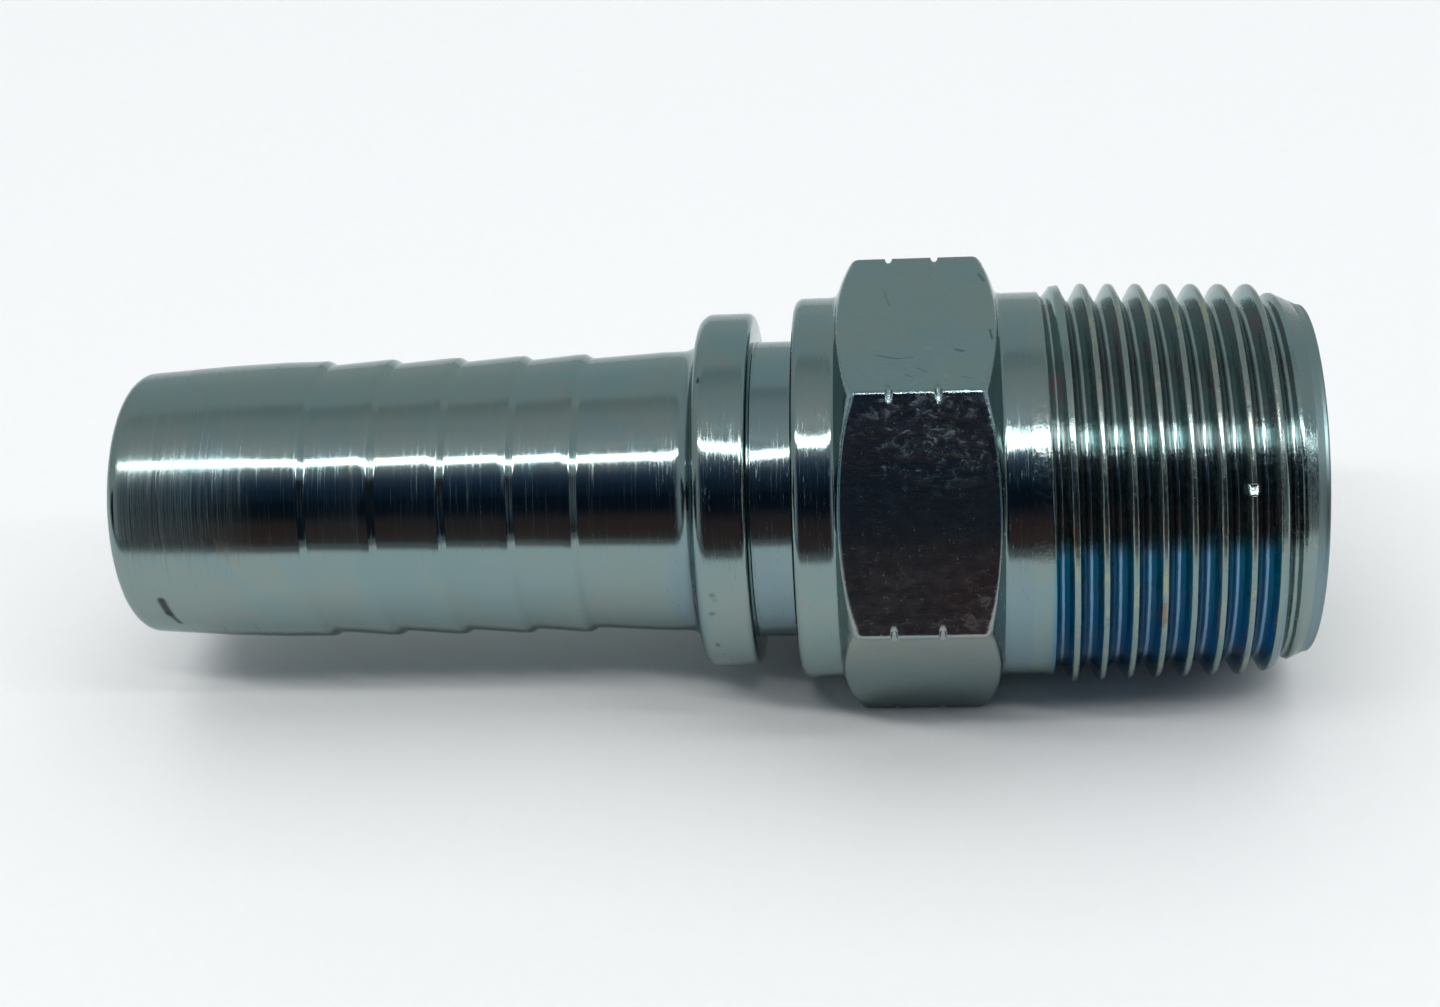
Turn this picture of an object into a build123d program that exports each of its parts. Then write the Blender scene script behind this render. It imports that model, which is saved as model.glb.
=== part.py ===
from build123d import *
import os
from math import tan, radians

os.makedirs("parts", exist_ok=True)

# Crimp hose tail with a taper pipe thread, turned in one piece from hexagon bar.
# Frame: X along the bore, X = 0 at the end face of the thread, the tail runs to -X.
# +Z up, with the hexagon lying on one flat and another flat on top. Millimetres.

# ---- overall and bore
overall_len = 79.3
bore_d = 15.0
bore_lead_nose = 0.2      # break of the bore's edge at the nose
bore_lead_thread = 0.9    # break of the bore's edge at the thread end

# ---- hose tail: rounded nose, long lead, five saw-tooth barbs, last ramp
nose_tip_r = 8.97         # where the lead would meet the nose face
nose_round = 1.15
barb_r = 9.55             # crest of the barbs (diameter 19.1, for 19 mm hose)
valley_r = 9.25           # foot of each step
lead_stations = [(-77.2, 9.10), (-73.0, 9.38), (-69.0, 9.54)]
barb_x = [-65.80, -61.15, -56.52, -51.95, -47.75]
step_len = 0.32           # axial run of the step down behind a crest
crest_land = 0.55         # short land at each crest
ramp_end_r = 9.58         # tail radius where it meets the collar's fillet

# ---- collar ring, ferrule groove, shoulder ring
collar_x0, collar_x1, collar_r = -39.98, -36.28, 12.02
collar_fillet = 1.25
collar_round_tail, collar_round_groove = 0.95, 0.45
groove_r = 10.06
shoulder_x0, shoulder_r = -33.50, 12.92
shoulder_round = 0.60
shoulder_fillet = 0.60

# ---- hexagon, 27 mm spanner size, from drawn bar
hex_af = 26.8
hex_x0, hex_x1 = -30.62, -20.18
hex_corner_round = 0.30
hex_face_r = 13.20        # where the turned chamfers start
hex_chamfer_tail = 0.42   # axial run per millimetre of radius
hex_chamfer_thread = 0.40
nick_x = [-27.15, -24.10] # two narrow turned lines that nick the corners
nick_depth, nick_w = 0.36, 0.46

# ---- neck and R 3/4 taper thread, 14 per inch, taper 1 in 16 on diameter
neck_r = 12.92
neck_x1 = -17.45
thread_pitch = 25.4 / 14
gauge_x, gauge_r = -9.5, 26.441 / 2
taper = 1 / 32
blank_x, blank_r = -17.08, 13.22      # thread blank just after the neck
full_x = -14.2                        # from here on the blank follows the taper
end_land_x, end_land_r = -0.62, 11.76
end_chamfer_deg = 26.0


def thread_r(x):
    """Crest radius of the taper thread at station x."""
    return gauge_r + (gauge_x - x) * taper


# the end chamfer starts where it meets the taper
_t = tan(radians(end_chamfer_deg))
end_chamfer_x = (end_land_r + end_land_x * _t - gauge_r - gauge_x * taper) / (_t - taper)

# turned outline from nose to thread end, as (x, radius)
outline = [(-overall_len, nose_tip_r)] + lead_stations
for i, x in enumerate(barb_x):
    outline.append((x - step_len / 2 - crest_land, barb_r))
    outline.append((x - step_len / 2, barb_r))
    outline.append((x + step_len / 2, valley_r))
outline += [
    (-42.6, ramp_end_r - 0.03),
    (collar_x0, ramp_end_r),
    (collar_x0, collar_r),
    (collar_x1, collar_r),
    (collar_x1, groove_r),
    (shoulder_x0, groove_r),
    (shoulder_x0, shoulder_r),
    (hex_x0, shoulder_r),
    (hex_x0, hex_face_r),
    (hex_x1, hex_face_r),
    (hex_x1, neck_r),
    (neck_x1, neck_r),
    (blank_x, blank_r),
    (full_x, thread_r(full_x)),
    (end_chamfer_x, thread_r(end_chamfer_x)),
    (end_land_x, end_land_r),
    (0, end_land_r),
]

with BuildPart() as hose_tail_body:
    # hexagon bar, lying on a flat
    with BuildSketch(Plane.YZ.offset(hex_x0)) as bar:
        RegularPolygon(radius=hex_af / 2, side_count=6, major_radius=False)
        fillet(bar.vertices(), hex_corner_round)
    extrude(amount=hex_x1 - hex_x0)

    # turned chamfers at both ends of the hexagon
    far = hex_af / 2 * 1.25
    with BuildSketch(Plane.XZ) as barrel:
        with BuildLine():
            Polyline(
                (hex_x0, 0),
                (hex_x0, hex_face_r),
                (hex_x0 + (far - hex_face_r) * hex_chamfer_tail, far),
                (hex_x1 - (far - hex_face_r) * hex_chamfer_thread, far),
                (hex_x1, hex_face_r),
                (hex_x1, 0),
                close=True,
            )
        make_face()
    revolve(axis=Axis.X, mode=Mode.INTERSECT)

    # two turned lines, cut only as deep as the corners
    corner_r = hex_af / 2 / 0.8660254
    with BuildSketch(Plane.XZ) as nicks:
        for x in nick_x:
            with BuildLine():
                Polyline(
                    (x - nick_w / 2, corner_r + 0.5),
                    (x - nick_w / 2, corner_r - nick_depth * 0.55),
                    (x - nick_w / 6, corner_r - nick_depth),
                    (x + nick_w / 6, corner_r - nick_depth),
                    (x + nick_w / 2, corner_r - nick_depth * 0.55),
                    (x + nick_w / 2, corner_r + 0.5),
                    close=True,
                )
            make_face()
    revolve(axis=Axis.X, mode=Mode.SUBTRACT)

    # everything turned: nose, barbs, collar, groove, shoulder, neck, thread blank
    with BuildSketch(Plane.XZ) as turned:
        with BuildLine():
            Polyline(*[(-overall_len, 0)], *outline, (0, 0), close=True)
        make_face()

        def corner(x, r):
            return turned.vertices().sort_by_distance((x, r, 0))[0]

        fillet(corner(-overall_len, nose_tip_r), nose_round)
        for x in barb_x:
            fillet(corner(x - step_len / 2, barb_r), 0.12)
            fillet(corner(x + step_len / 2, valley_r), 0.25)
        fillet(corner(collar_x0, ramp_end_r), collar_fillet)
        fillet(corner(collar_x0, collar_r), collar_round_tail)
        fillet(corner(collar_x1, collar_r), collar_round_groove)
        fillet(corner(collar_x1, groove_r), 0.10)
        fillet(corner(shoulder_x0, groove_r), 0.15)
        fillet(corner(shoulder_x0, shoulder_r), shoulder_round)
        fillet(corner(hex_x0, shoulder_r), 0.26)
        fillet(corner(hex_x1, neck_r), 0.26)
        fillet(corner(end_land_x, end_land_r), 0.15)
        fillet(corner(0, end_land_r), 0.15)
    revolve(axis=Axis.X)

    # straight bore from end to end, with its edges broken
    with BuildSketch(Plane.XZ) as bore:
        with BuildLine():
            Polyline(
                (-overall_len - 1, 0),
                (-overall_len - 1, bore_d / 2 + bore_lead_nose + 1),
                (-overall_len + bore_lead_nose, bore_d / 2),
                (-bore_lead_thread, bore_d / 2),
                (1, bore_d / 2 + bore_lead_thread + 1),
                (1, 0),
                close=True,
            )
        make_face()
    revolve(axis=Axis.X, mode=Mode.SUBTRACT)

hose_tail_body.part.label = "hose_tail_body"
export_step(hose_tail_body.part, "parts/hose_tail_body.step")
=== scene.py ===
import math

import bpy
import numpy as np
from mathutils import Matrix


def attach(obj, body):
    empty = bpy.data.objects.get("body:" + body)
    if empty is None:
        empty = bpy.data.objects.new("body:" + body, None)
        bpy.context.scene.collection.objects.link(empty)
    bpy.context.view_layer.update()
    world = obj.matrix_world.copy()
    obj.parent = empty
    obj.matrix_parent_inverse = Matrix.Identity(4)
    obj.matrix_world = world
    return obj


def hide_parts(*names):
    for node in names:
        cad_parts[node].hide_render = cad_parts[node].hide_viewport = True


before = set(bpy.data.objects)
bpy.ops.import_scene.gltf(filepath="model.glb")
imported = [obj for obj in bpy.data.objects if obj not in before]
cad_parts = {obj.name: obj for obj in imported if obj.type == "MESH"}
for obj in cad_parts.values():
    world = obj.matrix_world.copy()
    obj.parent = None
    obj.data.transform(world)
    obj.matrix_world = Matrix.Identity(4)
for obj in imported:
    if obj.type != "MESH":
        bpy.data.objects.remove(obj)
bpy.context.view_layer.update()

# --------------------------------------------------------------------------
# dimensions, mm, in the CAD frame: X = 0 at the thread's end face, tail to -X
# --------------------------------------------------------------------------
LEN = 79.3
BORE = 7.5
AF = 26.8
RH = AF / 2 / math.cos(math.radians(30))
HEX0, HEX1 = -30.62, -20.18
FACE_R = 13.20
CH_L, CH_R = 0.42, 0.40
CORNER = 0.33
NICKS = (-27.15, -24.10)
NICK_D = 0.29
NECK_R = 12.92
P = 25.4 / 14
CREST_X = -15.784         # a crest at section angle CREST_A
CREST_A = math.radians(142.15)
CREST_FLAT, CREST_RND = 0.04, 0.18
DENT_X, DENT_A = -4.86, math.radians(145.2)
FLANK = math.tan(math.radians(27.5))
ROOT_R = 0.25
LAND_X, LAND_R = -0.30, 11.60
T_END = math.tan(math.radians(26.0))


def crest_r(x):
    return 26.441 / 2 + (-9.5 - x) / 32.0


def blank_r(x):
    """Turned blank of the thread: neck, short rise, taper, end chamfer."""
    r = np.interp(x, [-30, -17.25, -17.12, -16.92, -16.72, -16.30, -15.80, -15.20, -14.2], [NECK_R, NECK_R, 12.98, 13.15, 13.235, 13.27, 13.36, 13.395, crest_r(-14.2)])
    r = np.where(x > -14.2, crest_r(x), r)
    return np.minimum(r, LAND_R + np.maximum(LAND_X - x, 0.0) * T_END)


def groove_depth(u):
    """Depth below the crest line at axial distance u from the crest's middle."""
    sn, cs = math.sin(math.radians(27.5)), math.cos(math.radians(27.5))
    ux, ud = CREST_FLAT + CREST_RND * cs, CREST_RND * (1 - sn)     # crest rounding meets the flank
    cx = P / 2
    tx = cx - ROOT_R * cs                                          # flank meets the root rounding
    td = ud + (tx - ux) / FLANK
    crest = CREST_RND - np.sqrt(np.maximum(CREST_RND**2 - np.clip(u - CREST_FLAT, 0, None) ** 2, 0))
    flank = ud + (u - ux) / FLANK
    root = td - ROOT_R * sn + np.sqrt(np.maximum(ROOT_R**2 - (cx - u) ** 2, 0.0))
    return np.where(u < ux, crest, np.where(u < tx, flank, root))


def thread_radius(x, th):
    ph = (x - CREST_X) / P - (th_rel(th)) / (2 * math.pi)
    u = np.abs(ph - np.round(ph)) * P
    lift = np.interp(x, [-17.90, -17.50, -17.30, -17.12, -16.69, -16.25], [1.30, 0.80, 0.47, 0.34, 0.10, 0.0])
    r = np.minimum(blank_r(x), crest_r(x) - groove_depth(u) + lift)
    # one crest is dented: a small slanting flat, deepest on its upper side
    s = (th - DENT_A) * 13.2
    facet = crest_r(DENT_X) - 0.12 - 0.25 * (0.36 - s) / 0.72 + 0.12 * (x - DENT_X)
    hit = (np.abs(x - DENT_X) < 0.75) & (np.abs(s) < 0.37)
    return np.where(hit, np.minimum(r, facet), r)


def th_rel(th):
    """Turns from the reference crest, growing the way the thread advances to +X."""
    return th - CREST_A


# --------------------------------------------------------------------------
# section angles shared by every ring, denser at the hexagon's corners
# --------------------------------------------------------------------------
near = [0, 0.24, 0.46, 0.66, 0.95, 1.4, 2.1, 3.0, 4.4]
sector = near + list(np.linspace(6.7, 53.3, 15)) + [60 - v for v in near[:0:-1]]
extra = list(145.2 + np.array([-2.1, -1.8, -1.62, -1.56, -1.2, -0.8, -0.4, 0.0, 0.4, 0.8, 1.2, 1.56, 1.62, 1.8, 2.1]))
deg = sorted([60.0 * k + v for k in range(6) for v in sector if abs(60.0 * k + v - 145.2) > 2.3] + extra)
TH = np.radians(np.array(deg))
N = len(TH)


def hex_radius(th):
    """Radius of the hexagon's outline, with its corners rounded."""
    t = (th + math.pi / 6) % (math.pi / 3) - math.pi / 6   # from the nearest corner
    t = np.abs(t)
    flat = AF / 2 / np.cos(math.pi / 6 - t)
    cc = RH - CORNER / math.cos(math.radians(30))          # centre of the rounding
    s = cc * np.sin(t)
    arc = cc * np.cos(t) + np.sqrt(np.maximum(CORNER**2 - s * s, 0))
    tan_t = math.radians(30) - math.atan2(AF / 2 * math.tan(math.radians(30)) - CORNER * math.tan(math.radians(30)), AF / 2)
    return np.where(t < tan_t, arc, flat)


HR = hex_radius(TH)

# --------------------------------------------------------------------------
# mesh builder: rows of N vertices, joined row to row
# --------------------------------------------------------------------------
verts, faces, mats = [], [], []
TURNED, HEXFLAT, THREAD, BOREM = 0, 1, 2, 3


def add_ring(xs, rs):
    """A ring of N vertices; xs and rs are numbers or arrays over the angles."""
    xs = np.broadcast_to(np.asarray(xs, float), (N,))
    rs = np.broadcast_to(np.asarray(rs, float), (N,))
    first = len(verts)
    verts.extend(zip(xs, rs * np.cos(TH), rs * np.sin(TH)))
    return [first + i for i in range(N)]


def join(a, b, mat):
    for i in range(N):
        j = (i + 1) % N
        faces.append((a[i], a[j], b[j], b[i]))
        mats.append(mat)


def arc_chain(pts, seg=0.12):
    """(x, r, fillet radius) corners to a smooth polyline of (x, r)."""
    out = []
    for k, (x, r, f) in enumerate(pts):
        if f <= 0 or k in (0, len(pts) - 1):
            out.append((x, r))
            continue
        p = np.array([x, r])
        a = np.array(pts[k - 1][:2]) - p
        b = np.array(pts[k + 1][:2]) - p
        la, lb = np.linalg.norm(a), np.linalg.norm(b)
        a, b = a / la, b / lb
        ang = math.acos(max(-1, min(1, float(a @ b))))
        t = f / math.tan(ang / 2)
        t = min(t, la * 0.98, lb * 0.98)
        f = t * math.tan(ang / 2)
        cdir = (a + b) / np.linalg.norm(a + b)
        c = p + cdir * (f / math.sin(ang / 2))
        s, e = p + a * t, p + b * t
        v0, v1 = s - c, e - c
        sweep = math.pi - ang
        n = max(3, int(math.ceil(math.degrees(sweep) / 11.0)))
        cross = v0[0] * v1[1] - v0[1] * v1[0]
        sgn = 1 if cross > 0 else -1
        for q in range(n + 1):
            w = sgn * sweep * q / n
            out.append(tuple(c + np.array([v0[0] * math.cos(w) - v0[1] * math.sin(w), v0[0] * math.sin(w) + v0[1] * math.cos(w)])))
    return out


# ---- tail, collar, groove, shoulder (rings only)
barbs = [-65.80, -61.15, -56.52, -51.95, -47.75]
STEP, LANDW, BARB_R, VAL_R = 0.50, 0.50, 9.55, 9.26
pts = [(-79.3, BORE + 0.2, 0), (-LEN, 8.97, 1.15), (-77.2, 9.10, 6.0), (-73.0, 9.38, 12.0), (-69.0, 9.54, 12.0)]
for x in barbs:
    pts.append((x - STEP / 2 - LANDW, BARB_R, 0.6))
    pts.append((x - STEP / 2, BARB_R, 0.16))
    pts.append((x + STEP / 2, VAL_R, 0.18))
pts += [
    (-42.6, 9.55, 3.0),
    (-39.98, 9.58, 1.25),
    (-39.98, 12.02, 0.95),
    (-36.28, 12.02, 0.50),
    (-36.28, 10.06, 0.10),
    (-33.50, 10.06, 0.15),
    (-33.50, 12.92, 0.60),
    (-31.20, 12.92, 0),
    (-30.98, 12.935, 0),
    (-30.84, 12.97, 0),
    (-30.72, 13.03, 0),
]
tail = arc_chain(pts)
rows = []
prev = None
first_ring = None
for k, (x, r) in enumerate(tail):
    ring = add_ring(x, r)
    if prev is not None:
        join(prev, ring, TURNED)
    else:
        first_ring = ring
    prev = ring

# ---- hexagon: rows that follow the chamfer's edge round each flat


def hex_row(xs, rs, mat):
    global prev
    ring = add_ring(xs, rs)
    join(prev, ring, mat)
    prev = ring


def smin(a, b, k):
    h = np.clip(k - np.abs(a - b), 0, None) / k
    return np.minimum(a, b) - h * h * k / 4


off_corner = (np.degrees(TH) + 30) % 60 - 30
HK = 0.50 + 0.75 * np.exp(-((off_corner / 5.0) ** 2))


def hex_surface(x):
    """Hexagon blended into its two end chamfers, at stations x (one per angle)."""
    left = FACE_R + (x - HEX0) / CH_L
    right = FACE_R + (HEX1 - x) / CH_R
    return np.maximum(smin(smin(HR, left, HK), right, HK), 12.96)


lx = HEX0 + (HR - FACE_R) * CH_L
rx = HEX1 - (HR - FACE_R) * CH_R
for t in (0.0, 0.35, 0.65):
    x = HEX0 + (lx - 0.12 - HEX0) * t
    hex_row(x, hex_surface(x), TURNED)
for dx in (-0.10, -0.05, 0.0, 0.06, 0.13, 0.22, 0.34, 0.50):
    hex_row(lx + dx, hex_surface(lx + dx), TURNED if dx <= 0.0 else HEXFLAT)
for g in NICKS:
    for dx, d in ((-0.55, 0), (-0.29, 0), (-0.235, 0.0), (-0.205, 0.15), (-0.085, NICK_D), (0.085, NICK_D), (0.205, 0.15), (0.235, 0.0), (0.29, 0), (0.55, 0)):
        lim = RH - 0.045 - d if d else 99.0
        x = np.full(N, g + dx)
        hex_row(x, np.minimum(hex_surface(x), lim), HEXFLAT)
for dx in (-0.50, -0.34, -0.22, -0.13, -0.06, 0.0, 0.05, 0.10):
    hex_row(rx + dx, hex_surface(rx + dx), HEXFLAT if dx <= 0.0 else TURNED)
for t in (0.65, 0.35, 0.0):
    x = HEX1 + (rx + 0.12 - HEX1) * t
    hex_row(x, hex_surface(x), TURNED)

# ---- neck
xs0, xe0 = -18.30, -0.80
neck = [(-20.10, 13.03), (-20.00, 12.97), (-19.88, 12.935), (-19.70, NECK_R), (xs0, NECK_R)]
for x, r in neck:
    ring = add_ring(x, r)
    join(prev, ring, TURNED)
    prev = ring
ring_s = prev

# ---- thread: rows along the helix, cut square at both ends
half = P / 2
ph = np.array([0.0, 0.05, 0.10, 0.15, 0.20, 0.24, 0.46, 0.655, 0.70, 0.76, 0.83]) / P
phases = sorted(set(np.round(np.concatenate([ph, [0.5], 1 - ph[1:]]), 6)))
K = len(phases)
base = CREST_X - P * CREST_A / (2 * math.pi)       # crest position at angle 0
n0 = math.floor((xs0 - base) / P) - 2
n1 = math.ceil((xe0 - base) / P) + 2
S = np.array([n + p for n in range(n0, n1) for p in phases])
M = len(S)
ring_e = add_ring(xe0, float(blank_r(np.array([xe0]))[0]))
X = base + P * (S[:, None] + TH[None, :] / (2 * math.pi))
R = thread_radius(X, np.broadcast_to(TH, X.shape))
idx = np.zeros((M, N), int)
for i in range(N):
    for j in range(M):
        if X[j, i] <= xs0 + 0.03:
            idx[j, i] = ring_s[i]
        elif X[j, i] >= xe0 - 0.03:
            idx[j, i] = ring_e[i]
        else:
            idx[j, i] = len(verts)
            r = R[j, i]
            verts.append((X[j, i], r * math.cos(TH[i]), r * math.sin(TH[i])))
for j in range(M - 1):
    for i in range(N):
        a, b = idx[j, i], idx[j + 1, i]
        if i < N - 1:
            c, d = idx[j + 1, i + 1], idx[j, i + 1]
        else:
            if j + 1 + K >= M:
                continue
            c, d = idx[j + 1 + K, 0], idx[j + K, 0]
        poly = []
        for v in (a, d, c, b):
            if v not in poly:
                poly.append(int(v))
        if len(poly) >= 3 and not (set(poly) <= set(ring_s) or set(poly) <= set(ring_e)):
            faces.append(tuple(poly))
            mats.append(THREAD)
prev = ring_e

# ---- end chamfer, land, end face, bore
end = arc_chain([(xe0, float(blank_r(np.array([xe0]))[0]), 0), (LAND_X, LAND_R, 0.15), (0.0, LAND_R, 0.15), (0.0, 8.4, 0.05), (-0.9, BORE, 0.08), (-8.0, BORE, 0)])
for x, r in end[1:]:
    ring = add_ring(x, r)
    join(prev, ring, TURNED if r > 8.5 else BOREM)
    prev = ring
for x, r in [(-20.0, BORE), (-40.0, BORE), (-60.0, BORE), (-79.0, BORE), (-79.1, BORE), (-79.22, BORE + 0.09)]:
    ring = add_ring(x, r)
    join(prev, ring, BOREM)
    prev = ring
join(prev, first_ring, BOREM)

me = bpy.data.meshes.new("hose_tail")
V = np.array(verts) / 1000.0
me.from_pydata([tuple(v) for v in V], [], faces)
me.polygons.foreach_set("material_index", mats)
me.polygons.foreach_set("use_smooth", [True] * len(faces))
me.update()
me.validate(clean_customdata=False)
body = bpy.data.objects.new("hose_tail", me)
bpy.context.scene.collection.objects.link(body)

import bmesh
bm = bmesh.new()
bm.from_mesh(me)
bmesh.ops.recalc_face_normals(bm, faces=bm.faces[:])
open_edges = sum(1 for e in bm.edges if len(e.link_faces) != 2)
print("hose_tail: verts", len(bm.verts), "faces", len(bm.faces), "tris", sum(len(f.verts) - 2 for f in bm.faces), "open or odd edges", open_edges, "volume mm3", bm.calc_volume() * 1e9)
bm.to_mesh(me)
bm.free()

# --------------------------------------------------------------------------
# materials
# --------------------------------------------------------------------------


class Nodes:
    """Small helper to wire node trees."""

    def __init__(self, name):
        self.mat = bpy.data.materials.new(name)
        self.mat.use_nodes = True
        self.nt = self.mat.node_tree
        self.nt.nodes.clear()
        self.out = self.nt.nodes.new("ShaderNodeOutputMaterial")
        self.bsdf = self.nt.nodes.new("ShaderNodeBsdfPrincipled")
        self.nt.links.new(self.bsdf.outputs[0], self.out.inputs["Surface"])

    def put(self, sock, val):
        if hasattr(val, "links") or hasattr(val, "is_linked"):
            self.nt.links.new(val, sock)
        else:
            sock.default_value = val

    def new(self, kind, **inputs):
        n = self.nt.nodes.new(kind)
        for k, v in inputs.items():
            self.put(n.inputs[k.replace("_", " ")], v)
        return n

    def math(self, op, a, b=None, c=None, clamp=False):
        n = self.nt.nodes.new("ShaderNodeMath")
        n.operation = op
        n.use_clamp = clamp
        self.put(n.inputs[0], a)
        if b is not None:
            self.put(n.inputs[1], b)
        if c is not None:
            self.put(n.inputs[2], c)
        return n.outputs[0]

    def vec(self, op, a, b=None):
        n = self.nt.nodes.new("ShaderNodeVectorMath")
        n.operation = op
        self.put(n.inputs[0], a)
        if b is not None:
            self.put(n.inputs[1], b)
        return n.outputs["Value"] if op in ("DISTANCE", "LENGTH", "DOT_PRODUCT") else n.outputs[0]

    def noise(self, vector, scale=1.0, detail=2.0, rough=0.5, dist=0.0, w=None):
        n = self.nt.nodes.new("ShaderNodeTexNoise")
        if w is not None:
            n.noise_dimensions = "4D"
            n.inputs["W"].default_value = w
        self.put(n.inputs["Vector"], vector)
        n.inputs["Scale"].default_value = scale
        n.inputs["Detail"].default_value = detail
        n.inputs["Roughness"].default_value = rough
        n.inputs["Distortion"].default_value = dist
        return n.outputs["Fac"] if "Fac" in n.outputs else n.outputs[0]

    def ramp(self, fac, stops, smooth=False):
        n = self.nt.nodes.new("ShaderNodeValToRGB")
        if smooth:
            n.color_ramp.interpolation = "EASE"
        el = n.color_ramp.elements
        while len(el) > 1:
            el.remove(el[-1])
        el[0].position = stops[0][0]
        el[0].color = (*stops[0][1], 1) if len(stops[0][1]) == 3 else stops[0][1]
        for p, c in stops[1:]:
            e = el.new(p)
            e.color = (*c, 1) if len(c) == 3 else c
        self.put(n.inputs[0], fac)
        return n.outputs[0]

    def range(self, v, a, b, c=0.0, d=1.0, smooth=True):
        n = self.nt.nodes.new("ShaderNodeMapRange")
        n.interpolation_type = "SMOOTHSTEP" if smooth else "LINEAR"
        self.put(n.inputs["Value"], v)
        n.inputs["From Min"].default_value = a
        n.inputs["From Max"].default_value = b
        n.inputs["To Min"].default_value = c
        n.inputs["To Max"].default_value = d
        return n.outputs["Result"]

    def mix(self, fac, a, b):
        n = self.nt.nodes.new("ShaderNodeMix")
        n.data_type = "RGBA"
        self.put(n.inputs[0], fac)
        for s, v in ((n.inputs[6], a), (n.inputs[7], b)):
            if isinstance(v, tuple):
                s.default_value = (*v, 1) if len(v) == 3 else v
            else:
                self.put(s, v)
        return n.outputs[2]

    def bump(self, height, strength, distance, normal=None):
        n = self.nt.nodes.new("ShaderNodeBump")
        n.inputs["Strength"].default_value = strength
        n.inputs["Distance"].default_value = distance
        self.put(n.inputs["Height"], height)
        if normal is not None:
            self.put(n.inputs["Normal"], normal)
        return n.outputs[0]

    def mm(self):
        """Object coordinates in millimetres."""
        tc = self.nt.nodes.new("ShaderNodeTexCoord")
        return self.vec("MULTIPLY", tc.outputs["Object"], (1000.0, 1000.0, 1000.0))

    def stroke(self, p, a, b, w):
        """1 along the segment a-b, fading out w away from it."""
        a, b = np.array(a, float), np.array(b, float)
        ab = b - a
        pa = self.vec("SUBTRACT", p, tuple(a))
        t = self.math("DIVIDE", self.vec("DOT_PRODUCT", pa, tuple(ab)), float(ab @ ab), clamp=True)
        n = self.nt.nodes.new("ShaderNodeVectorMath")
        n.operation = "SCALE"
        n.inputs[0].default_value = tuple(ab)
        self.put(n.inputs["Scale"], t)
        return self.range(self.vec("LENGTH", self.vec("SUBTRACT", pa, n.outputs[0])), w * 0.35, w, 1.0, 0.0)

    def spot(self, p, at, r0, r1, squash=(1, 1, 1)):
        """1 inside r0 of a place, 0 beyond r1; squash stretches it."""
        d = self.vec("SUBTRACT", p, at)
        d = self.vec("MULTIPLY", d, squash)
        return self.range(self.vec("LENGTH", d), r0, r1, 1.0, 0.0)


def on(x, r, deg):
    """A place on the surface: station, radius, section angle."""
    a = math.radians(deg)
    return (x, r * math.cos(a), r * math.sin(a))


ZINC = (0.218, 0.282, 0.270)
ZINC_BLUE = (0.196, 0.280, 0.288)
ZINC_WARM = (0.238, 0.274, 0.258)


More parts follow.
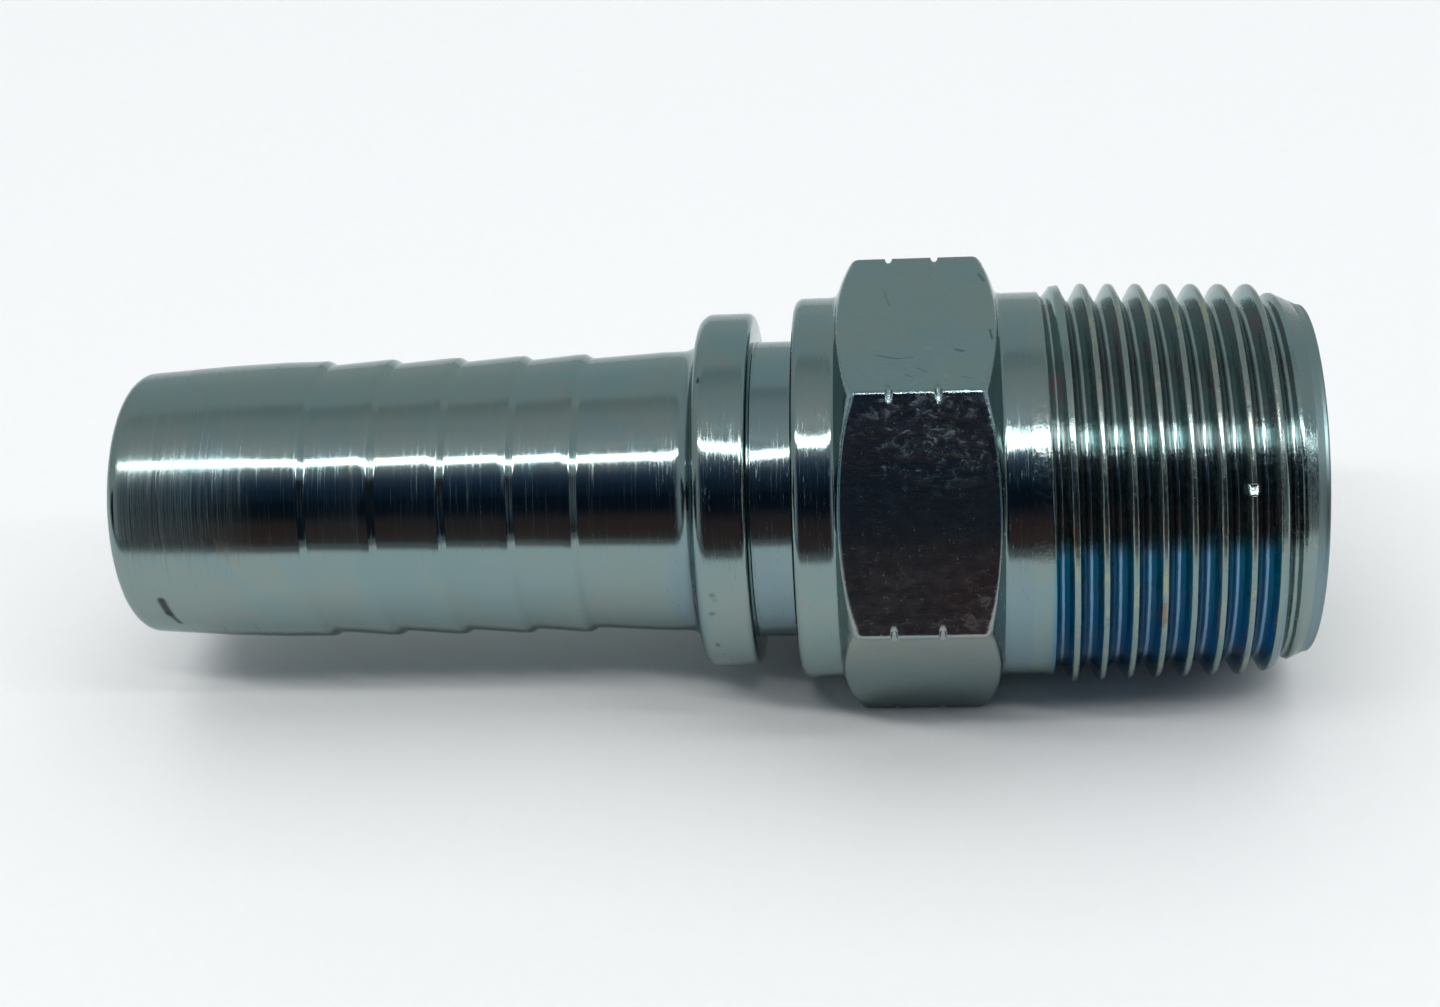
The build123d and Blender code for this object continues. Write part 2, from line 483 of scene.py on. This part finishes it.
def zinc(name, kind):
    m = Nodes(name)
    p = m.mm()
    sep = m.new("ShaderNodeSeparateXYZ", Vector=p)
    x, y, z = sep.outputs[0], sep.outputs[1], sep.outputs[2]

    # slow drift of the passivation's tint: bluish to faintly warm
    tint = m.noise(p, scale=0.16, detail=3, rough=0.55, dist=0.6)
    col = m.mix(m.range(tint, 0.38, 0.62), ZINC, ZINC_BLUE)
    tint2 = m.noise(m.vec("ADD", p, (31.0, 7.0, 3.0)), scale=0.28, detail=3, rough=0.6, dist=0.9)
    col = m.mix(m.math("MULTIPLY", m.range(tint2, 0.56, 0.75), 0.7), col, ZINC_WARM)

    if kind == "turned":
        # lathe marks: fine rings, strongest on the nose
        rings = m.noise(m.vec("MULTIPLY", p, (4.2, 0.05, 0.05)), scale=1.0, detail=2, rough=0.6)
        fine = m.noise(m.vec("MULTIPLY", p, (14.0, 0.10, 0.10)), scale=1.0, detail=2, rough=0.65)
        fine2 = m.noise(m.vec("MULTIPLY", m.vec("ADD", p, (5.0, 0, 0)), (9.0, 0.22, 0.22)), scale=1.0, detail=3, rough=0.7)
        nose = m.range(x, -67.0, -73.5)
        amt = m.math("MULTIPLY_ADD", nose, 0.85, 0.10)
        height = m.math("ADD", m.math("MULTIPLY", rings, amt), m.math("MULTIPLY", fine, m.math("MULTIPLY_ADD", nose, 0.60, 0.25)))
        ring_val = m.range(rings, 0.35, 0.65)
        streak = m.range(fine2, 0.52, 0.74)
        rough = m.math("MULTIPLY_ADD", streak, 0.17, 0.096)
        rough = m.math("ADD", rough, m.math("MULTIPLY", nose, m.math("MULTIPLY_ADD", ring_val, 0.075, 0.025)))
        # collar, groove, shoulder and neck: small tool chatter and handling marks
        mid = m.range(x, -44.0, -41.0)
        chat = m.noise(m.vec("MULTIPLY", p, (5.5, 0.75, 0.75)), scale=1.0, detail=4, rough=0.72, dist=0.25)
        speck = m.range(chat, 0.58, 0.68)
        rough = m.math("ADD", rough, m.math("MULTIPLY", speck, m.math("MULTIPLY_ADD", mid, 0.16, 0.02)))
        rough = m.math("ADD", rough, m.math("MULTIPLY", m.range(x, -3.4, -2.6), 0.30))      # the end chamfer is dull
        nrm = m.bump(height, 0.20, 0.00005)
        nrm = m.bump(m.math("MULTIPLY", chat, m.math("MULTIPLY_ADD", mid, 0.45, 0.12)), 0.20, 0.00008, nrm)
        # a bluer film in the groove, on the neck and in the fillet by the collar
        film = m.math("ADD", m.math("MULTIPLY", m.range(x, -36.4, -36.1), m.range(x, -33.4, -33.7)), m.range(x, -20.4, -19.8))
        film = m.math("ADD", film, m.math("MULTIPLY", m.range(x, -42.2, -41.2), m.range(x, -39.3, -39.9)), clamp=True)
        film = m.math("MULTIPLY", film, m.range(z, 8.0, -4.0, 0.25, 1.0))
        col = m.mix(m.math("MULTIPLY", film, 0.85), col, (0.176, 0.262, 0.300))
        # nicks and specks left by handling
        marks = [
            (on(-38.78, 12.02, 176.3), 0.04, 0.34, (1, 0.8, 1), 0.42),
            (on(-38.62, 12.02, 178.2), 0.02, 0.20, (0.7, 1, 1), 0.25),
            (on(-38.89, 12.02, 183.7), 0.04, 0.30, (0.8, 1, 1), 0.48),
            (on(-38.79, 12.02, 200), 0.06, 0.24, (1, 0.6, 0.6), 0.62),
            (on(-38.50, 12.02, 207), 0.03, 0.16, (1, 1, 1), 0.5),
            (on(-39.42, 11.85, 105.8), 0.10, 0.26, (1.6, 0.7, 0.7), 0.80),
        ]
        for a, b, wd in [
            (on(-76.32, 9.07, 188.5), on(-76.20, 9.08, 198), 0.44),
            (on(-76.20, 9.08, 197), on(-75.85, 9.09, 206), 0.33),
            (on(-75.85, 9.09, 206), on(-75.10, 9.12, 210), 0.12),
            (on(-39.44, 11.78, 112), on(-39.44, 11.78, 127), 0.13),
        ]:
            col = m.mix(m.math("MULTIPLY", m.stroke(p, a, b, wd), 0.86), col, (0.02, 0.025, 0.025))
        for at, r0, r1, sq, k in marks:
            col = m.mix(m.math("MULTIPLY", m.spot(p, at, r0, r1, sq), k), col, (0.03, 0.035, 0.035))
    elif kind == "hexflat":
        # drawn bar under the plate: crystal-like mottling, pits and short scratches
        mott = m.noise(m.vec("MULTIPLY", p, (0.75, 1.15, 1.15)), scale=1.7, detail=4, rough=0.70, dist=0.8)
        pits = m.noise(p, scale=6.0, detail=3, rough=0.75)
        drawn = m.noise(m.vec("MULTIPLY", p, (0.20, 3.2, 3.2)), scale=1.0, detail=4, rough=0.65)
        worn = m.noise(m.vec("ADD", m.vec("MULTIPLY", p, (0.10, 0.30, 0.30)), (0.0, 2.3, 0.9)), scale=1.0, detail=2, rough=0.5, dist=0.5)
        # the plate took less evenly towards the upper half of the near flat
        upper = m.math("MULTIPLY", m.range(z, 7.2, 9.8), m.range(y, -3.5, -6.5))
        break_up = m.noise(m.vec("MULTIPLY", p, (0.55, 0.8, 0.8)), scale=1.0, detail=3, rough=0.6, dist=0.8)
        upper = m.math("MULTIPLY", upper, m.range(break_up, 0.36, 0.58))
        upper = m.math("MULTIPLY", upper, m.range(x, -30.2, -27.2, 0.25, 1.0))
        patch = m.math("MAXIMUM", m.math("MULTIPLY", m.range(worn, 0.50, 0.66), 0.55), upper)
        spark = m.math("MULTIPLY", m.range(mott, 0.46, 0.66), m.math("MULTIPLY_ADD", patch, 0.75, 0.25))
        rough = m.math("MULTIPLY_ADD", spark, 0.19, 0.15)
        col = m.mix(m.math("MULTIPLY", spark, 0.12), col, (0.33, 0.355, 0.38))
        height = m.math("ADD", m.math("MULTIPLY", mott, m.math("MULTIPLY_ADD", patch, 1.0, 0.35)), m.math("ADD", m.math("MULTIPLY", pits, 0.30), m.math("MULTIPLY", drawn, 0.25)))
        nrm = m.bump(height, 0.23, 0.00015)
        # a faint reddish painted reflection low on the near flat; scratches on the top flat
        col = m.mix(m.math("MULTIPLY", m.spot(p, (-22.3, -14.4, 1.9), 0.6, 3.4, (1.0, 0.8, 0.8)), 0.50), col, (0.32, 0.21, 0.20))
        # the upper side flats' colour goes from greyish above through blue to a warm, blotchy lower part, on both
        # sides alike: partly plate colour, partly painted reflection of the room
        front = m.math("MULTIPLY", m.range(z, 13.36, 13.15), m.math("MULTIPLY", m.math("MAXIMUM", m.range(y, -3.5, -6.5), m.range(y, 3.5, 6.5)), m.range(z, -0.25, 0.15)))
        blotch = m.noise(m.vec("MULTIPLY", p, (0.5, 0.9, 0.9)), scale=1.6, detail=5, rough=0.68, dist=0.3)
        lowb = m.math("MULTIPLY", m.math("MULTIPLY", m.range(z, 6.8, 3.2), front), m.range(blotch, 0.34, 0.64, 0.40, 1.0))
        # warm, blotchy lower band: partly plate colour, partly painted reflection
        col = m.mix(m.math("MULTIPLY", lowb, 0.65), col, (0.335, 0.330, 0.322))
        rough = m.math("MULTIPLY_ADD", lowb, 0.07, rough)
        midb = m.math("MULTIPLY", m.math("MULTIPLY", m.range(z, 10.6, 8.8), m.range(z, 4.5, 6.8)), front)
        # blue middle band: partly plate colour, partly painted reflection
        col = m.mix(m.math("MULTIPLY", midb, 0.65), col, (0.15, 0.30, 0.375))
        topb = m.math("MULTIPLY", m.math("MULTIPLY", m.range(z, 8.8, 10.6), front), m.range(blotch, 0.36, 0.60, 0.35, 1.0))
        # greyish top band: partly plate colour, partly painted reflection
        col = m.mix(m.math("MULTIPLY", topb, 0.75), col, (0.34, 0.45, 0.51))
        # painted light: the flats below them are painted paler towards their upper edge, standing in for the lit
        # floor they reflect, on both sides alike
        col = m.mix(m.math("MULTIPLY", m.math("MULTIPLY", m.range(z, -0.1, -0.6), m.range(z, -7.0, -0.3)), m.math("MULTIPLY", m.math("MAXIMUM", m.range(y, -6.0, -7.2), m.range(y, 6.0, 7.2)), 0.80)), col, (0.32, 0.355, 0.315))
        # sparse bright flecks over the whole flat
        fl = m.noise(m.vec("ADD", p, (3.0, 11.0, 5.0)), scale=2.3, detail=4, rough=0.8)
        fleck = m.range(fl, 0.60, 0.69)
        rough = m.math("ADD", rough, m.math("MULTIPLY", fleck, 0.13))
        col = m.mix(m.math("MULTIPLY", fleck, 0.30), col, (0.36, 0.385, 0.40))
        # painted glints: near-white spots on the hexagon's right edge
        for at, r0, r1 in [(on(-20.62, 14.4, 134.5), 0.05, 0.22), (on(-20.60, 14.2, 137.8), 0.05, 0.20), (on(-20.72, 13.9, 141.0), 0.04, 0.16)]:
            k = m.spot(p, at, r0, r1)
            col = m.mix(m.math("MULTIPLY", k, 0.9), col, (0.80, 0.84, 0.84))
            rough = m.math("MULTIPLY_ADD", k, 0.38, rough)
        # scratches and small stains on the top flat
        for a, b, wd, k in [
            ((-27.9, -3.75, 13.4), (-26.6, -4.15, 13.4), 0.07, 0.6),
            ((-26.6, -4.15, 13.4), (-25.6, -4.05, 13.4), 0.05, 0.5),
            ((-25.4, -5.2, 13.4), (-24.8, -5.7, 13.4), 0.06, 0.5),
            ((-26.1, -5.9, 13.4), (-25.7, -6.2, 13.4), 0.06, 0.5),
            ((-27.4, 3.6, 13.4), (-27.1, 1.9, 13.4), 0.06, 0.35),
            ((-22.9, -3.3, 13.4), (-22.5, -3.5, 13.4), 0.20, 0.45),
            ((-21.2, 5.4, 13.4), (-20.9, 4.6, 13.4), 0.14, 0.5),
            ((-20.7, -1.2, 13.4), (-20.6, -2.2, 13.4), 0.12, 0.6),
            ((-22.6, -6.3, 13.4), (-22.0, -6.5, 13.4), 0.07, 0.4),
        ]:
            col = m.mix(m.math("MULTIPLY", m.stroke(p, a, b, wd), k), col, (0.05, 0.06, 0.06))
    elif kind == "thread":
        geo = m.nt.nodes.new("ShaderNodeNewGeometry")
        gn = m.new("ShaderNodeSeparateXYZ", Vector=geo.outputs["Normal"])
        r = m.math("SQRT", m.math("ADD", m.math("MULTIPLY", y, y), m.math("MULTIPLY", z, z)))
        line = m.math("SUBTRACT", 26.441 / 2 - 9.5 / 32.0, m.math("DIVIDE", x, 32.0))
        depth = m.math("SUBTRACT", line, r)
        threaded = m.math("MULTIPLY", m.range(x, -17.7, -17.2), m.range(x, -2.0, -3.2))
        cut = m.math("MAXIMUM", m.range(r, 12.89, 12.70), m.range(x, -17.3, -16.6))
        inside = m.math("MULTIPLY", m.math("MULTIPLY", m.range(depth, 0.10, 0.40), cut), threaded)
        # the passivation pooled in the grooves: greener and greyer above, bluer underneath
        under = m.range(z, 5.6, 2.8)
        lean = m.range(gn.outputs[0], -0.5, 0.5)
        above_col = m.mix(lean, (0.225, 0.350, 0.345), (0.270, 0.268, 0.265))
        deep = m.range(z, 3.0, -6.0)
        below_col = m.mix(lean, m.mix(deep, (0.020, 0.255, 0.310), (0.006, 0.190, 0.320)), m.mix(deep, (0.036, 0.215, 0.320), (0.022, 0.165, 0.360)))
        vall = m.mix(under, above_col, below_col)
        irid = m.noise(m.vec("MULTIPLY", p, (0.9, 0.25, 0.25)), scale=1.0, detail=3, rough=0.6, dist=0.8)
        vall = m.mix(m.math("MULTIPLY", m.range(irid, 0.52, 0.64), m.range(lean, 0.2, 0.9, 0.15, 0.65)), vall, (0.40, 0.20, 0.23))
        col = m.mix(inside, col, vall)
        far_in = m.math("MULTIPLY", m.math("MULTIPLY", m.range(depth, 0.98, 1.09), cut), threaded)
        root_col = m.mix(under, (0.21, 0.27, 0.27), (0.135, 0.235, 0.350))
        col = m.mix(m.math("MULTIPLY", far_in, 0.85), col, root_col)
        crest = m.math("MULTIPLY", m.range(depth, 0.09, 0.03), m.math("MULTIPLY", m.range(x, -16.9, -16.3), threaded))
        col = m.mix(m.math("MULTIPLY", crest, 0.6), col, m.mix(under, (0.265, 0.300, 0.275), (0.210, 0.285, 0.280)))
        gold = m.noise(m.vec("ADD", m.vec("MULTIPLY", p, (1.0, 0.5, 0.5)), (9.0, 0, 0)), scale=1.3, detail=3, rough=0.65)
        col = m.mix(m.math("MULTIPLY", m.math("MULTIPLY", m.range(gold, 0.53, 0.66), crest), 0.45), col, (0.40, 0.37, 0.20))
        chat = m.noise(p, scale=2.2, detail=4, rough=0.7)
        rough = m.math("MULTIPLY_ADD", m.range(chat, 0.4, 0.75), 0.12, 0.105)
        rough = m.math("ADD", rough, m.math("MULTIPLY", crest, 0.07))
        # rougher, sparkling metal where the die first bit
        rough = m.math("ADD", rough, m.math("MULTIPLY", m.math("MULTIPLY", m.range(chat, 0.45, 0.68), m.range(x, -4.6, -3.4)), 0.07))
        # crests rubbed and nicked here and there
        nick = m.noise(m.vec("MULTIPLY", p, (1.0, 1.4, 1.4)), scale=2.8, detail=3, rough=0.7)
        col = m.mix(m.math("MULTIPLY", m.math("MULTIPLY", m.range(nick, 0.62, 0.70), crest), 0.75), col, (0.04, 0.045, 0.045))
        # two short rusty streaks on the crests
        for at, r0, r1, sq in [
            (on(-10.25, 13.3, 182), 0.16, 0.34, (1.0, 0.22, 0.22)),
            (on(-15.95, 13.4, 157), 0.12, 0.30, (1.0, 0.30, 0.30)),
        ]:
            col = m.mix(m.math("MULTIPLY", m.spot(p, at, r0, r1, sq), 0.55), col, (0.22, 0.11, 0.06))
        fine = m.noise(m.vec("MULTIPLY", p, (9.0, 0.5, 0.5)), scale=1.0, detail=3, rough=0.65)
        nrm = m.bump(m.math("ADD", fine, m.math("MULTIPLY", chat, 0.6)), 0.25, 0.00008)
    else:
        rings = m.noise(m.vec("MULTIPLY", p, (2.2, 0.1, 0.1)), scale=1.0, detail=3, rough=0.6)
        rough = m.math("MULTIPLY_ADD", rings, 0.2, 0.25)
        nrm = m.bump(rings, 0.3, 0.0001)
    m.bsdf.inputs["Metallic"].default_value = 1.0
    m.bsdf.inputs["Specular Tint"].default_value = (0.74, 0.78, 0.78, 1.0)
    m.put(m.bsdf.inputs["Base Color"], col)
    m.put(m.bsdf.inputs["Roughness"], rough)
    m.put(m.bsdf.inputs["Normal"], nrm)
    return m.mat


me.materials.append(zinc("zinc_turned", "turned"))
me.materials.append(zinc("zinc_drawn_flat", "hexflat"))
me.materials.append(zinc("zinc_thread", "thread"))
me.materials.append(zinc("zinc_bore", "bore"))

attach(body, "root")
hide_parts("hose_tail_body")

# --------------------------------------------------------------------------
# stage: pale floor, strip light on the viewer's side, soft surroundings
# --------------------------------------------------------------------------
fm = Nodes("floor_paper")
fp = fm.mm()
fine = fm.noise(fp, scale=0.9, detail=4, rough=0.6)
fcol = fm.mix(fine, (0.87, 0.872, 0.872), (0.90, 0.90, 0.90))
# the light pools round the object and falls away in the distance
far = fm.range(fm.vec("LENGTH", fm.vec("SUBTRACT", fp, (-40.0, 60.0, 0.0))), 168.0, 265.0)
fs = fm.new("ShaderNodeSeparateXYZ", Vector=fp)
far = fm.math("MULTIPLY", far, fm.range(fs.outputs[1], 10.0, -90.0))
fcol = fm.mix(far, fcol, (0.20, 0.18, 0.175))
fm.put(fm.bsdf.inputs["Base Color"], fcol)
fm.bsdf.inputs["Roughness"].default_value = 0.9
fm.bsdf.inputs["Specular IOR Level"].default_value = 0.15
fme = bpy.data.meshes.new("floor")
h = 3.0
fme.from_pydata([(-h, -h, -0.01341), (h, -h, -0.01341), (h, h, -0.01341), (-h, h, -0.01341)], [], [(0, 1, 2, 3)])
fme.materials.append(fm.mat)
floor = bpy.data.objects.new("floor", fme)
bpy.context.scene.collection.objects.link(floor)

world = bpy.data.worlds.new("studio")
bpy.context.scene.world = world
world.use_nodes = True
wt = world.node_tree
wt.nodes.clear()


class W(Nodes):
    def __init__(self, nt):
        self.nt = nt


w = W(wt)
wout = wt.nodes.new("ShaderNodeOutputWorld")
bg = wt.nodes.new("ShaderNodeBackground")
wt.links.new(bg.outputs[0], wout.inputs["Surface"])
tc = wt.nodes.new("ShaderNodeTexCoord")
ws = w.new("ShaderNodeSeparateXYZ", Vector=tc.outputs["Generated"])
phi = w.math("ARCTAN2", ws.outputs[2], w.math("MULTIPLY", ws.outputs[1], -1.0))
t = w.math("MULTIPLY_ADD", phi, 0.5 / math.pi, 0.5)      # 0.5 = front horizon, 0.75 = zenith, 1.0 = back horizon


def at(deg):
    return 0.5 + deg / 360.0


sky = w.ramp(t, [
    (0.0, (0.60, 0.60, 0.60)),
    (at(-30), (0.10, 0.09, 0.09)),
    (at(0), (0.090, 0.066, 0.064)),
    (at(9), (0.082, 0.045, 0.044)),
    (at(17), (0.058, 0.040, 0.044)),
    (at(24), (0.008, 0.013, 0.025)),
    (at(35), (0.004, 0.012, 0.027)),
    (at(45), (0.016, 0.036, 0.075)),
    (at(53), (0.050, 0.080, 0.150)),
    (at(60), (0.25, 0.27, 0.32)),
    (at(76), (0.74, 0.74, 0.75)),
    (at(84), (0.64, 0.64, 0.66)),
    (at(94), (0.56, 0.57, 0.58)),
    (at(104), (0.51, 0.53, 0.54)),
    (at(113), (0.41, 0.45, 0.45)),
    (at(119), (0.38, 0.42, 0.43)),
    (at(126), (0.52, 0.58, 0.59)),
    (at(150), (0.55, 0.62, 0.63)),
    (at(170), (0.64, 0.68, 0.68)),
    (1.0, (0.66, 0.67, 0.67)),
])
side = w.math("ABSOLUTE", ws.outputs[0])
sidef = w.range(side, 0.35, 0.74)
# dark far out on both sides, low on the viewer's side, and more so to the right
low = w.range(t, at(60), at(54))
door = w.math("MULTIPLY", w.math("MAXIMUM", w.range(side, 0.84, 0.89), w.math("MULTIPLY", w.range(ws.outputs[0], 0.30, 0.42), w.range(ws.outputs[0], 0.78, 0.70))), low)
sidec = w.ramp(t, [
    (0.0, (0.45, 0.49, 0.52)),
    (at(-6), (0.43, 0.47, 0.50)),
    (at(8), (0.40, 0.44, 0.47)),
    (at(48), (0.40, 0.44, 0.48)),
    (at(60), (0.50, 0.54, 0.57)),
    (at(68), (0.54, 0.58, 0.60)),
    (at(130), (0.52, 0.56, 0.58)),
    (1.0, (0.47, 0.50, 0.52)),
])
sky = w.mix(sidef, sky, sidec)
sky = w.mix(door, sky, (0.010, 0.016, 0.026))
wt.links.new(sky, bg.inputs["Color"])
bg.inputs["Strength"].default_value = 1.0


def area(name, phi_deg, dist, sx, sy, radiance, colour=(1, 1, 1), cx=-0.040, roll=0.0):
    """A rectangular light at an angle round the X axis, facing the object."""
    L = bpy.data.lights.new(name, "AREA")
    L.shape = "RECTANGLE"
    L.size, L.size_y = sx, sy
    L.energy = radiance * math.pi * sx * sy
    L.color = colour
    o = bpy.data.objects.new(name, L)
    bpy.context.scene.collection.objects.link(o)
    a = math.radians(phi_deg)
    back = np.array([0.0, -math.cos(a), math.sin(a)])
    right0 = np.array([1.0, 0.0, 0.0])
    up0 = np.cross(back, right0)
    c, q = math.cos(math.radians(roll)), math.sin(math.radians(roll))
    right, up = c * right0 + q * up0, c * up0 - q * right0
    m = Matrix([[right[i], up[i], back[i], 0] for i in range(3)] + [[0, 0, 0, 1]])
    m.translation = (cx, back[1] * dist, back[2] * dist)
    o.matrix_world = m
    return o


area("strip", 66.4, 1.0, 1.13, 0.068, 16.0, (1.0, 1.0, 0.985), cx=-0.285, roll=-12.0)
area("strip_end", 69.0, 1.0, 2.0, 0.050, 13.0, (0.985, 1.0, 1.0), cx=1.27)
panel = area("panel", 63.3, 1.01, 0.40, 0.21, 10.5, (0.985, 1.0, 1.0), cx=0.290, roll=-6.0)
panel.visible_diffuse = False    # a second, wider source seen only as a reflection beside the strip
fill = area("soft_top", 105.0, 1.3, 1.5, 1.3, 1.05)
fill.visible_glossy = False      # lights the floor only; the metal mirrors the strip and the room

# --------------------------------------------------------------------------
# camera
# --------------------------------------------------------------------------


def rotvec(v):
    th = float(np.linalg.norm(v))
    k = np.array(v) / th
    Kx = np.array([[0, -k[2], k[1]], [k[2], 0, -k[0]], [-k[1], k[0], 0]])
    return np.eye(3) + math.sin(th) * Kx + (1 - math.cos(th)) * Kx @ Kx


CAM_D, CAM_E, CAM_F = 151.8153, 0.6606667, 2222.454
CAM_W = (0.006962555, 0.09048328, -0.02119708)
CAM_X = -25.25
fwd = np.array([0, math.cos(CAM_E), -math.sin(CAM_E)])
rgt = np.array([1.0, 0, 0])
dwn = np.cross(fwd, rgt)
B = rotvec(CAM_W) @ np.stack([rgt, dwn, fwd])
cam_data = bpy.data.cameras.new("camera")
cam_data.sensor_width = 36.0
cam_data.sensor_fit = "HORIZONTAL"
cam_data.lens = CAM_F * 36.0 / 1440.0
cam_data.clip_start, cam_data.clip_end = 0.005, 20.0
cam = bpy.data.objects.new("camera", cam_data)
bpy.context.scene.collection.objects.link(cam)
m4 = Matrix([[B[0][i], -B[1][i], -B[2][i], 0] for i in range(3)] + [[0, 0, 0, 1]])
m4.translation = (CAM_X / 1000, -CAM_D * math.cos(CAM_E) / 1000, CAM_D * math.sin(CAM_E) / 1000)
cam.matrix_world = m4
bpy.context.scene.camera = cam

bpy.context.scene.view_settings.view_transform = "Standard"
bpy.context.scene.view_settings.look = "None"
